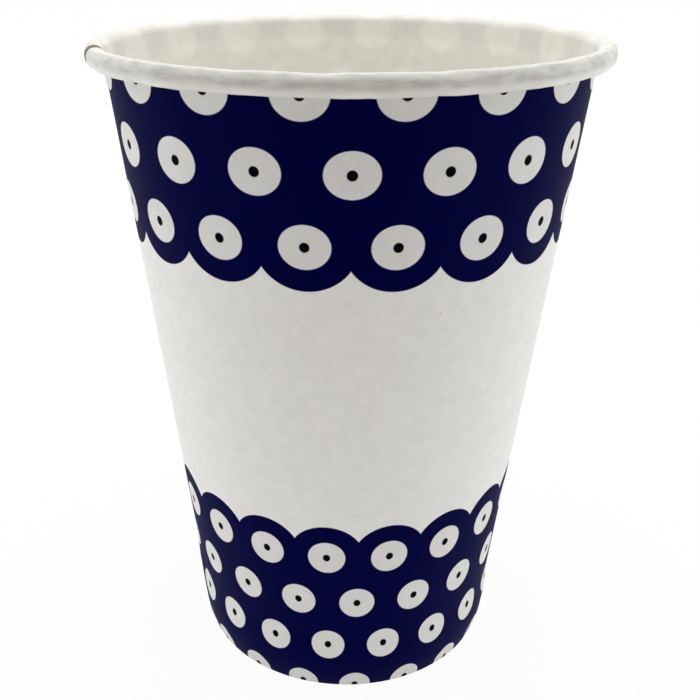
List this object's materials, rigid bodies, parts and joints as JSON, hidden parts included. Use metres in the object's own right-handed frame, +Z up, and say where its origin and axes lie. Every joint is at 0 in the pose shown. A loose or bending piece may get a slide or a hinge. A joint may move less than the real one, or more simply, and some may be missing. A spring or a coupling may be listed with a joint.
{
  "type": "paper cup",
  "caption": "Tapered paper drinking cup with a rolled rim, a lapped side seam, a recessed base and a navy dot pattern.",
  "frame": {"origin": "centre of the foot ring, on the surface that the cup stands on", "axes": "+Z up along the cup's axis; -Y towards the viewer; the side seam is on the -X side"},
  "size_m": [0.08, 0.08, 0.1063],
  "materials": {
    "printed_paperboard": "coated paperboard, satin",
    "base_paperboard": "coated paperboard, satin"
  },
  "bodies": {
    "root": {"side_wall": "printed_paperboard", "base_disc": "base_paperboard"}
  },
  "joints": []
}
